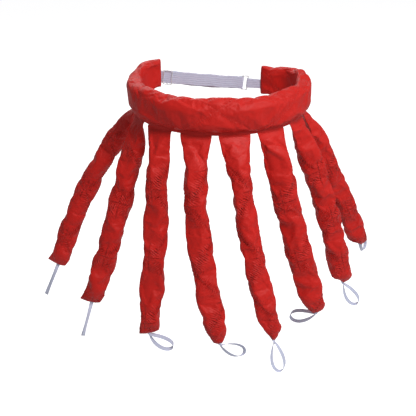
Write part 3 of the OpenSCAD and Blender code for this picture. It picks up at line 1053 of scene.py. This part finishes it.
def stitches(name, rows, cover):
    """Beads along rows of points, each laid on the nearest place of the cover."""
    surface = BVHTree.FromPolygons([v.co for v in cover.data.vertices],
                                   [p.vertices for p in cover.data.polygons])
    points = []
    faces = []
    for row in rows:
        run = distances(row)
        for at in np.arange(STITCH_PITCH, run[-1] - STITCH_PITCH / 2, STITCH_PITCH):
            start, end = (Vector([np.interp(at + d, run, row[:, i]) for i in range(3)])
                          for d in (-STITCH_LENGTH / 2, STITCH_LENGTH / 2))
            on, normal, _, _ = surface.find_nearest((start + end) / 2)
            side = normal.cross(end - start).normalized()
            turn = np.array((side.cross(normal), side, normal))
            faces += [[i + len(points) for i in face] for face in BEAD_FACES]
            points.extend(np.array(on + normal * THREAD / 3) + BEAD_POINTS @ turn)
    mesh = bpy.data.meshes.new(name)
    mesh.from_pydata(points, [], faces)
    bm = bmesh.new()
    bm.from_mesh(mesh)
    bpy.data.meshes.remove(mesh)
    return new_object(name, bm)


BEND_REACH = 20 * MM        # how far each way from the middle of an arm two points on its centreline are taken
for n, arm in arms.items():
    rows = []
    half = ARM_GIRTH / 2
    for u, far in arm_quilting(n).lines(-half, half, 26 * MM, arm.length - 6 * MM, 2 * MM):
        rows.append(arm_place(n, arm, u / ARM_GIRTH * 2 * math.pi - math.pi / 2, u, far))
    thread = stitches(f"{arm.name}_thread", rows, arm_covers[n])
    bend = [arm.centre(np.array([arm.length / 2 + d]))[0] for d in (-BEND_REACH, BEND_REACH)]
    for piece in (thread, arm_covers[n]):
        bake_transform(piece)

rows = []
for u, run in belt_quilting.lines(2 * MM, BELT_GIRTH - 2 * MM,
                                  BELT_START + 6 * MM, BELT_END - 6 * MM, 2 * MM):
    turn = np.interp(u, round_walk, fine_turns)
    rows.append(belt_place(turn, u, run))
belt_thread = stitches("belt_thread", rows, belt)
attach(belt_thread, "belt")
print("faces of the belt's thread:", len(belt_thread.data.polygons))

# %% [markdown]
# ## Finishes
#
# Effects that several finishes share are shader node groups with named inputs: the weave of a
# cloth, the fine gathers beside a stitch line, the soft crumpling of fabric, and the uneven
# colour of something dyed and worn. A group puts out only a height, a mask or a colour. Each
# material places the groups it needs with its own values, and keeps its Principled shader.

# %% Building node groups


def new_group(name, inputs, outputs):
    """A node group with float inputs (name: value) or colour inputs (name: three numbers)."""
    tree = bpy.data.node_groups.new(name, "ShaderNodeTree")
    for label, value in inputs.items():
        kind = "NodeSocketColor" if isinstance(value, tuple) else "NodeSocketFloat"
        socket = tree.interface.new_socket(label, in_out="INPUT", socket_type=kind)
        socket.default_value = (*value, 1) if isinstance(value, tuple) else value
    for label, kind in outputs.items():
        tree.interface.new_socket(label, in_out="OUTPUT", socket_type=kind)
    return tree, tree.nodes.new("NodeGroupInput"), tree.nodes.new("NodeGroupOutput")


def feed(tree, socket, value):
    if isinstance(value, bpy.types.NodeSocket):
        tree.links.new(value, socket)
    elif isinstance(value, tuple):
        socket.default_value = (*value, 1)
    else:
        socket.default_value = value


def sums(tree, operation, *values):
    """A Math node on sockets or numbers."""
    made = tree.nodes.new("ShaderNodeMath")
    made.operation = operation
    for socket, value in zip(made.inputs, values):
        feed(tree, socket, value)
    return made.outputs[0]


def mixed(tree, share, one, two):
    """A colour between two colours."""
    made = tree.nodes.new("ShaderNodeMix")
    made.data_type = "RGBA"
    feed(tree, made.inputs["Factor"], share)
    for label, value in (("A", one), ("B", two)):
        socket = [s for s in made.inputs if s.name == label and s.type == "RGBA"][0]
        feed(tree, socket, value)
    return [s for s in made.outputs if s.type == "RGBA"][0]


def attribute(tree, name):
    made = tree.nodes.new("ShaderNodeAttribute")
    made.attribute_name = name
    return made.outputs["Fac"]


def noise(tree, scale, detail=3.0):
    """Noise on Object coordinates. scale is in repeats per metre."""
    where = tree.nodes.new("ShaderNodeTexCoord")
    made = tree.nodes.new("ShaderNodeTexNoise")
    feed(tree, made.inputs["Scale"], scale)
    feed(tree, made.inputs["Detail"], detail)
    tree.links.new(where.outputs["Object"], made.inputs["Vector"])
    return made.outputs["Fac"]


# %% Weave: threads across and along, with the long floats of a satin
weave, given, out = new_group("weave", {"Across": 0.0, "Along": 0.0, "Threads": 2400.0},
                              {"Height": "NodeSocketFloat"})
turns = sums(weave, "MULTIPLY", given.outputs["Threads"], 2 * math.pi)
across = sums(weave, "SINE", sums(weave, "MULTIPLY", given.outputs["Across"], turns))
slanted = sums(weave, "MULTIPLY", given.outputs["Along"], 0.2)
diagonal = sums(weave, "ADD", slanted, given.outputs["Across"])
floats = sums(weave, "SINE", sums(weave, "MULTIPLY", diagonal, turns))
height = sums(weave, "MULTIPLY_ADD", floats, 0.3, 0.5)
feed(weave, out.inputs["Height"], sums(weave, "MULTIPLY_ADD", across, 0.2, height))

# %% Gathers: fine folds square to a stitch line
gathers, given, out = new_group("gathers",
                                {"Distance": 1.0, "Run": 0.0, "Pitch": 0.002, "Reach": 0.006},
                                {"Height": "NodeSocketFloat", "Groove Shade": "NodeSocketFloat"})
wander = sums(gathers, "MULTIPLY", noise(gathers, 90.0), 2.2)
phase = sums(gathers, "ADD", sums(gathers, "DIVIDE", given.outputs["Run"], given.outputs["Pitch"]), wander)
ridge = sums(gathers, "SINE", sums(gathers, "MULTIPLY", phase, 2 * math.pi))
share = sums(gathers, "DIVIDE", given.outputs["Distance"], given.outputs["Reach"])
fade = sums(gathers, "EXPONENT", sums(gathers, "MULTIPLY", share, -1.0))
feed(gathers, out.inputs["Height"], sums(gathers, "MULTIPLY", ridge, fade))
# The second output is a mask near the thread, used for painted shade in the stitched grooves
feed(gathers, out.inputs["Groove Shade"], sums(gathers, "EXPONENT", sums(gathers, "MULTIPLY", share, -3.0)))

# %% Crumple: the soft creases of a stuffed cloth
crumple, given, out = new_group("crumple", {"Size": 40.0}, {"Height": "NodeSocketFloat"})
wide_creases = noise(crumple, given.outputs["Size"], 2.0)
ridged = sums(crumple, "ABSOLUTE", sums(crumple, "SUBTRACT", wide_creases, 0.5))
fine = noise(crumple, sums(crumple, "MULTIPLY", given.outputs["Size"], 4.0), 3.0)
feed(crumple, out.inputs["Height"], sums(crumple, "MULTIPLY_ADD", fine, 0.25, ridged))

# %% Dye: a colour that is a little uneven and paler where it has rubbed
dye, given, out = new_group("dye", {"Colour": (0.5, 0.5, 0.5), "Deep": (0.2, 0.2, 0.2),
                                    "Patches": 18.0, "Strength": 0.25},
                            {"Colour": "NodeSocketColor"})
patch = sums(dye, "MULTIPLY", noise(dye, given.outputs["Patches"], 4.0), given.outputs["Strength"])
feed(dye, out.inputs["Colour"], mixed(dye, patch, given.outputs["Colour"], given.outputs["Deep"]))
print("node groups:", [g.name for g in bpy.data.node_groups])

# %% [markdown]
# The cloth is a thin polyester satin: a saturated red with a soft, wide gloss. Shade is painted
# into the stitched grooves: the colour goes deeper there, where little light reaches. Weave and
# gathers follow the cloth's own measures, which the mesh carries as attributes, and the crumpling
# follows its place on the object.

# %% Red cloth


def placed(tree, group, **values):
    made = tree.nodes.new("ShaderNodeGroup")
    made.node_tree = group
    for label, value in values.items():
        feed(tree, made.inputs[label.replace("_", " ")], value)
    return made


def bump(tree, height, distance, below=None):
    made = tree.nodes.new("ShaderNodeBump")
    made.inputs["Distance"].default_value = distance
    feed(tree, made.inputs["Height"], height)
    if below is not None:
        tree.links.new(below, made.inputs["Normal"])
    return made.outputs["Normal"]


def dyed(tree, colour, deep, patches, strength):
    return placed(tree, dye, Colour=colour, Deep=deep, Patches=patches,
                  Strength=strength).outputs["Colour"]


def vary_roughness(tree, shader, scale, spread, least):
    rough = sums(tree, "MULTIPLY_ADD", noise(tree, scale), spread, least)
    feed(tree, shader.inputs["Roughness"], rough)


RED = (0.54, 0.013, 0.009)
DEEP_RED = (0.24, 0.003, 0.002)


def red_cloth(name, quilted, gather=0.5, crease=1.8):
    """The cloth's finish. gather and crease are the heights of its fine and wide folds, in mm."""
    material, shader = plain(name, RED, 0.5)
    tree = material.node_tree
    colour = dyed(tree, RED, DEEP_RED, 16.0, 0.3)
    u, v = attribute(tree, "cloth_u"), attribute(tree, "cloth_v")
    normal = bump(tree, placed(tree, crumple, Size=30.0).outputs["Height"], crease * MM)
    if quilted:
        folds = placed(tree, gathers, Distance=attribute(tree, "stitch_far"),
                       Run=attribute(tree, "stitch_run"), Pitch=3.1 * MM, Reach=6 * MM)
        normal = bump(tree, folds.outputs["Height"], gather * MM, normal)
        # Painted shade: the colour goes deeper towards DEEP_RED near the thread, in the stitched grooves
        depth = sums(tree, "MULTIPLY", folds.outputs["Groove Shade"], 0.08)
        colour = mixed(tree, depth, colour, DEEP_RED)
    normal = bump(tree, placed(tree, weave, Across=u, Along=v, Threads=2300.0).outputs["Height"],
                  0.05 * MM, normal)
    feed(tree, shader.inputs["Base Color"], colour)
    feed(tree, shader.inputs["Normal"], normal)
    vary_roughness(tree, shader, 60.0, 0.16, 0.42)
    shader.inputs["Specular IOR Level"].default_value = 0.2
    return material


def dress(material, *objects):
    for obj in objects:
        obj.data.materials.clear()
        obj.data.materials.append(material)


arm_cloth = red_cloth("quilted_red_cloth", True, gather=0.8, crease=2.4)
belt_cloth = red_cloth("quilted_red_belt_cloth", True, gather=0.1, crease=0.9)
plain_cloth = red_cloth("plain_red_cloth", False)
dress(arm_cloth, *arm_covers.values())
dress(belt_cloth, belt)
dress(plain_cloth, *hems.values(), binding)

thread_material, shader = plain("red_thread", (0.50, 0.03, 0.03), 0.55)
tree = thread_material.node_tree
feed(tree, shader.inputs["Base Color"], dyed(tree, (0.60, 0.07, 0.06), DEEP_RED, 300.0, 0.3))
feed(tree, shader.inputs["Normal"], bump(tree, noise(tree, 4000.0), 0.05 * MM))
dress(thread_material, belt_thread, *[bpy.data.objects[f"arm_{n}_thread"] for n in ARMS])

# %% [markdown]
# The elastic is knitted from white yarn over rubber threads. Its colour is painted shade: a greyer,
# slightly lilac white, as the white elastic looks in shade, and darker still in the rib grooves.
# It also has random patches of uneven tone. The rubber makes the ribs, which are in the mesh; the
# yarn crosses them in fine stitches, which are bump. The ring and the slider are clear moulded
# plastic, a little milky, and keep their CAD shapes.

# %% Elastic and plastic
# Painted shade: the white elastic made greyer and a little lilac, as it looks in shade
ELASTIC_WITH_PAINTED_SHADE = (0.60, 0.63, 0.76)
ELASTIC_SHADE = (0.36, 0.38, 0.53)
elastic, shader = plain("white_elastic_painted_shade", ELASTIC_WITH_PAINTED_SHADE, 0.75)
tree = elastic.node_tree
colour = dyed(tree, ELASTIC_WITH_PAINTED_SHADE, ELASTIC_SHADE, 120.0, 0.5)
knit = placed(tree, weave, Across=noise(tree, 900.0, 1.0), Along=noise(tree, 400.0, 1.0), Threads=3.0)
shaded = sums(tree, "MULTIPLY", attribute(tree, "rib_groove"), 0.5)
feed(tree, shader.inputs["Base Color"], mixed(tree, shaded, colour, ELASTIC_SHADE))
vary_roughness(tree, shader, 300.0, 0.15, 0.68)
feed(tree, shader.inputs["Normal"], bump(tree, knit.outputs["Height"], 0.12 * MM))
shader.inputs["Sheen Weight"].default_value = 0.3
dress(elastic, strap, strap_return, end_loop, tab, *loops.values(), *loop_tails.values())

clear, shader = plain("clear_plastic", (0.93, 0.94, 0.97), 0.14)
tree = clear.node_tree
vary_roughness(tree, shader, 250.0, 0.14, 0.08)
feed(tree, shader.inputs["Normal"], bump(tree, noise(tree, 500.0), 0.03 * MM))
shader.inputs["Transmission Weight"].default_value = 0.55
shader.inputs["IOR"].default_value = 1.49
for name in ("strap_ring", "strap_slider"):
    dress(clear, frame["nodes"][name])
print("materials:", len(bpy.data.materials))
